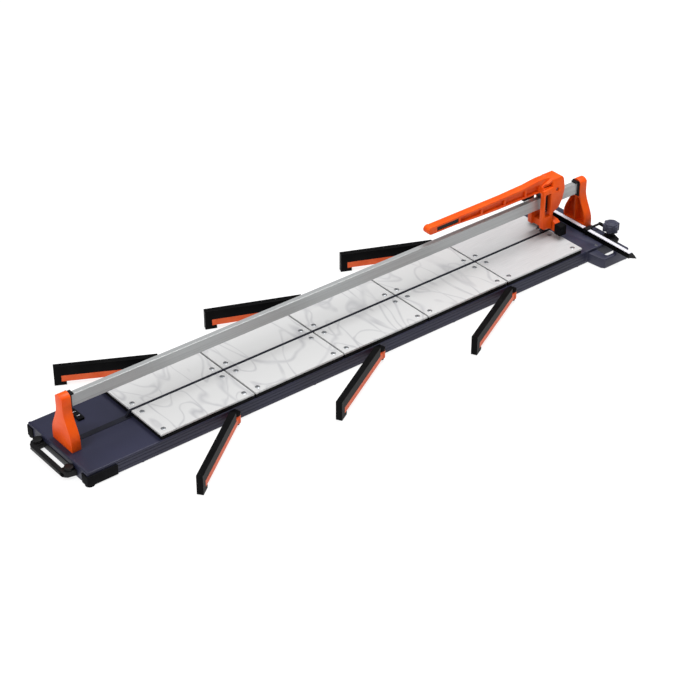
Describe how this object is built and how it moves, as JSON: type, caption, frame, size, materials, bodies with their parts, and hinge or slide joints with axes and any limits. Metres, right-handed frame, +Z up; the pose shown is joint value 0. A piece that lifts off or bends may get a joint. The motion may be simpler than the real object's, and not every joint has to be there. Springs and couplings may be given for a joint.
{
  "type": "tile cutter",
  "caption": "Long manual rail tile cutter: plate table, orange towers and lever carriage on one rail, swing-out side supports, fence with sliding stop.",
  "frame": {"origin": "on the bench, under the middle of the breaking table, on the rail's line", "axes": "+X along the rail towards the fence, +Y to the rear, +Z up"},
  "size_m": [1.919, 0.6614, 0.253],
  "materials": {
    "base_paint": "satin powder coat",
    "cast_base": "painted aluminium casting",
    "rib_black": "black rubber-topped rib",
    "cushion_rubber": "black rubber",
    "plate_aluminium": "brushed",
    "fastener_steel": "zinc plated",
    "orange_casting": "orange painted aluminium casting",
    "rail_aluminium": "anodised extrusion",
    "strip_aluminium": "anodised strip",
    "black_plastic": "moulded",
    "arm_black": "black coated extrusion",
    "arm_orange": "moulded orange plastic",
    "bracket_black": "black powder coat",
    "knob_plastic": "moulded",
    "carriage_grey": "machined and blackened aluminium",
    "bearing_steel": "hardened steel"
  },
  "bodies": {
    "base": {"arm_brackets": "bracket_black", "arm_pins": "bracket_black", "base_tray": "base_paint", "breaking_rib": "rib_black", "carry_handle": "black_plastic", "case_screws": "fastener_steel", "corner_guards": "cushion_rubber", "end_buffer": "cushion_rubber", "fence_bar": "bracket_black", "fence_tip": "black_plastic", "guide_rail": "rail_aluminium", "left_end_cap": "base_paint", "plate_cushions": "cushion_rubber", "plate_front_1": "plate_aluminium", "plate_front_2": "plate_aluminium", "plate_front_3": "plate_aluminium", "plate_front_4": "plate_aluminium", "plate_front_5": "plate_aluminium", "plate_rear_1": "plate_aluminium", "plate_rear_2": "plate_aluminium", "plate_rear_3": "plate_aluminium", "plate_rear_4": "plate_aluminium", "plate_rear_5": "plate_aluminium", "plate_screws": "fastener_steel", "rail_seats": "black_plastic", "right_end_casting": "cast_base", "rubber_feet": "cushion_rubber", "ruler_strip": "strip_aluminium", "tower_bolts": "fastener_steel", "tower_left": "orange_casting", "tower_right": "orange_casting"},
    "carriage": {"carriage_body": "carriage_grey", "roller_axles": "fastener_steel", "lever_pin": "fastener_steel"},
    "lever": {"lever": "orange_casting", "grip_inserts": "black_plastic", "lever_pad": "cushion_rubber", "wheel_holder": "carriage_grey", "wheel_axle": "fastener_steel", "breaking_foot": "orange_casting", "foot_shoes": "cushion_rubber"},
    "scoring_wheel": {"scoring_wheel": "bearing_steel"},
    "stop": {"stop_slider": "black_plastic"},
    "stop_knob": {"stop_knob": "knob_plastic"},
    "roller_top_left": {"roller_top_left": "bearing_steel"},
    "roller_bottom_left": {"roller_bottom_left": "bearing_steel"},
    "roller_top_right": {"roller_top_right": "bearing_steel"},
    "roller_bottom_right": {"roller_bottom_right": "bearing_steel"},
    "arm_front_1": {"arm_bar_front_1": "arm_black", "arm_rail_front_1": "arm_orange"},
    "arm_rear_1": {"arm_bar_rear_1": "arm_black", "arm_rail_rear_1": "arm_orange"},
    "arm_front_2": {"arm_bar_front_2": "arm_black", "arm_rail_front_2": "arm_orange"},
    "arm_rear_2": {"arm_bar_rear_2": "arm_black", "arm_rail_rear_2": "arm_orange"},
    "arm_front_3": {"arm_bar_front_3": "arm_black", "arm_rail_front_3": "arm_orange"},
    "arm_rear_3": {"arm_bar_rear_3": "arm_black", "arm_rail_rear_3": "arm_orange"}
  },
  "joints": [
    {"name": "carriage_slide", "type": "slide", "parent": "base", "child": "carriage", "axis": [1, 0, 0], "range_m": [-1.535, 0.055]},
    {"name": "lever_lift", "type": "hinge", "parent": "carriage", "child": "lever", "pos_m": [0.743, 0, 0.211], "axis": [0, 1, 0], "range_deg": [-3.5, 28]},
    {"name": "wheel_spin", "type": "hinge", "parent": "lever", "child": "scoring_wheel", "pos_m": [0.716, 0, 0.0755], "axis": [0, 1, 0], "continuous": true},
    {"name": "stop_slide", "type": "slide", "parent": "base", "child": "stop", "axis": [0, -1, 0], "range_m": [-0.01, 0.045]},
    {"name": "stop_knob_turn", "type": "hinge", "parent": "stop", "child": "stop_knob", "pos_m": [0.886, -0.122, 0.072], "axis": [0, 0, 1], "range_deg": [-180, 180]},
    {"name": "roller_top_left_spin", "type": "hinge", "parent": "carriage", "child": "roller_top_left", "pos_m": [0.712, 0, 0.1938], "axis": [0, 1, 0], "continuous": true},
    {"name": "roller_bottom_left_spin", "type": "hinge", "parent": "carriage", "child": "roller_bottom_left", "pos_m": [0.712, 0, 0.1447], "axis": [0, 1, 0], "continuous": true},
    {"name": "roller_top_right_spin", "type": "hinge", "parent": "carriage", "child": "roller_top_right", "pos_m": [0.756, 0, 0.1938], "axis": [0, 1, 0], "continuous": true},
    {"name": "roller_bottom_right_spin", "type": "hinge", "parent": "carriage", "child": "roller_bottom_right", "pos_m": [0.756, 0, 0.1447], "axis": [0, 1, 0], "continuous": true},
    {"name": "arm_front_1_swing", "type": "hinge", "parent": "base", "child": "arm_front_1", "pos_m": [-0.525, -0.1579, 0.03], "axis": [0, 0, 1], "range_deg": [-37, 53]},
    {"name": "arm_rear_1_swing", "type": "hinge", "parent": "base", "child": "arm_rear_1", "pos_m": [-0.525, 0.1579, 0.03], "axis": [0, 0, -1], "range_deg": [-28, 62]},
    {"name": "arm_front_2_swing", "type": "hinge", "parent": "base", "child": "arm_front_2", "pos_m": [-0.035, -0.1579, 0.03], "axis": [0, 0, 1], "range_deg": [-29.6, 60.4]},
    {"name": "arm_rear_2_swing", "type": "hinge", "parent": "base", "child": "arm_rear_2", "pos_m": [-0.035, 0.1579, 0.03], "axis": [0, 0, -1], "range_deg": [-22.5, 67.5]},
    {"name": "arm_front_3_swing", "type": "hinge", "parent": "base", "child": "arm_front_3", "pos_m": [0.455, -0.1579, 0.03], "axis": [0, 0, 1], "range_deg": [-27.4, 62.6]},
    {"name": "arm_rear_3_swing", "type": "hinge", "parent": "base", "child": "arm_rear_3", "pos_m": [0.455, 0.1579, 0.03], "axis": [0, 0, -1], "range_deg": [-23.8, 66.2]}
  ],
  "couplings": [
    {"joint": "roller_top_left_spin", "follows": "carriage_slide", "rad_per_m": 166.67},
    {"joint": "roller_bottom_left_spin", "follows": "carriage_slide", "rad_per_m": -166.67},
    {"joint": "roller_top_right_spin", "follows": "carriage_slide", "rad_per_m": 166.67},
    {"joint": "roller_bottom_right_spin", "follows": "carriage_slide", "rad_per_m": -166.67}
  ]
}
